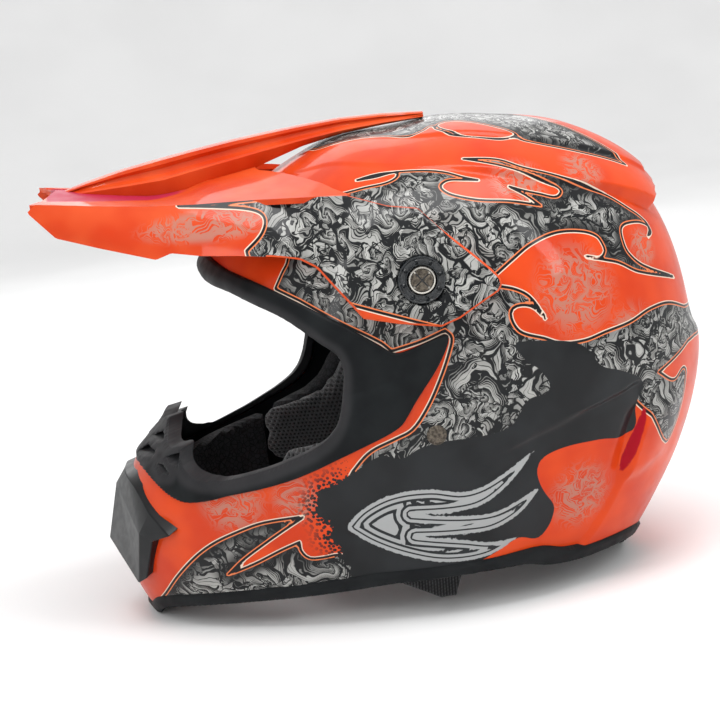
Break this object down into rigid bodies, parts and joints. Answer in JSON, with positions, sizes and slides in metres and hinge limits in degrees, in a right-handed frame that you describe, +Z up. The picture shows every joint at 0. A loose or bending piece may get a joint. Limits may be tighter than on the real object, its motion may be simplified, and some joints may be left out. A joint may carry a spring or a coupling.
{
  "type": "motocross helmet",
  "caption": "Full-face off-road helmet with a tilting peak, open eye port, foam and fabric liner, cheek pads and a D-ring chin strap.",
  "frame": {"origin": "bottom centre of the overall box, on the surface the helmet stands on", "axes": "+X to the wearer's left, +Y to the back of the helmet, +Z up"},
  "size_m": [0.245, 0.3546, 0.2595],
  "materials": {
    "paint": "clear-coated moulded shell with printed graphics",
    "peak_paint": "clear-coated moulded peak",
    "black_rubber": "matte moulded edge frame and trim",
    "black_gloss": "glossy moulded cover",
    "black_plastic": "satin moulded small parts",
    "foam": "dark expanded foam beads",
    "mesh_fabric": "knitted spacer mesh over soft foam",
    "webbing": "woven polyester strap",
    "steel": "satin plated steel",
    "rivet": "dull plated rivet"
  },
  "bodies": {
    "shell": {"outer_shell": "paint", "eyeport_frame": "black_rubber", "base_trim": "black_rubber", "chin_vent_cover": "black_gloss", "chin_vent_mesh": "foam", "insert_nut_left": "steel", "insert_nut_right": "steel", "crown_foam": "foam", "chin_foam": "foam", "crown_liner": "mesh_fabric", "brow_pad": "mesh_fabric", "neck_roll": "mesh_fabric", "cheek_foam_left": "foam", "cheek_foam_right": "foam", "cheek_pad_left": "mesh_fabric", "cheek_pad_right": "mesh_fabric", "cheek_snap_1_left": "black_plastic", "cheek_snap_1_right": "black_plastic", "cheek_snap_2_left": "black_plastic", "cheek_snap_2_right": "black_plastic", "cheek_snap_3_left": "black_plastic", "cheek_snap_3_right": "black_plastic", "strap_rivet_left": "rivet", "strap_rivet_right": "rivet", "rivet_washer_left": "steel", "rivet_washer_right": "steel"},
    "peak": {"peak": "peak_paint", "screw_ring_left": "black_plastic", "screw_ring_right": "black_plastic"},
    "screw_left": {"side_screw_left": "steel"},
    "screw_right": {"side_screw_right": "steel"},
    "long_strap": {"chin_strap_long": "webbing"},
    "short_strap": {"chin_strap_short": "webbing"},
    "outer_ring": {"d_ring_outer": "steel"},
    "inner_ring": {"d_ring_inner": "steel"}
  },
  "joints": [
    {"name": "peak_tilt", "type": "hinge", "parent": "shell", "child": "peak", "pos_m": [0, 0.0109, 0.181], "axis": [1, 0, 0], "range_deg": [-2, 6]},
    {"name": "screw_left_turn", "type": "hinge", "parent": "shell", "child": "screw_left", "pos_m": [0.118, 0.0109, 0.181], "axis": [1, 0, 0], "continuous": true},
    {"name": "screw_right_turn", "type": "hinge", "parent": "shell", "child": "screw_right", "pos_m": [-0.118, 0.0109, 0.181], "axis": [-1, 0, 0], "continuous": true},
    {"name": "long_strap_swing", "type": "hinge", "parent": "shell", "child": "long_strap", "pos_m": [0.1083, 0.0098, 0.101], "axis": [1, 0, 0], "range_deg": [-12, 12]},
    {"name": "short_strap_swing", "type": "hinge", "parent": "shell", "child": "short_strap", "pos_m": [-0.1083, 0.0098, 0.101], "axis": [1, 0, 0], "range_deg": [-12, 12]},
    {"name": "outer_ring_swing", "type": "hinge", "parent": "short_strap", "child": "outer_ring", "pos_m": [-0.08671, 0.0098, 0.0375], "axis": [0, 1, 0], "range_deg": [-40, 4]},
    {"name": "inner_ring_swing", "type": "hinge", "parent": "short_strap", "child": "inner_ring", "pos_m": [-0.08191, 0.0098, 0.0375], "axis": [0, 1, 0], "range_deg": [-40, 4]}
  ],
  "couplings": [
    {"joint": "inner_ring_swing", "follows": "outer_ring_swing", "ratio": 1}
  ]
}
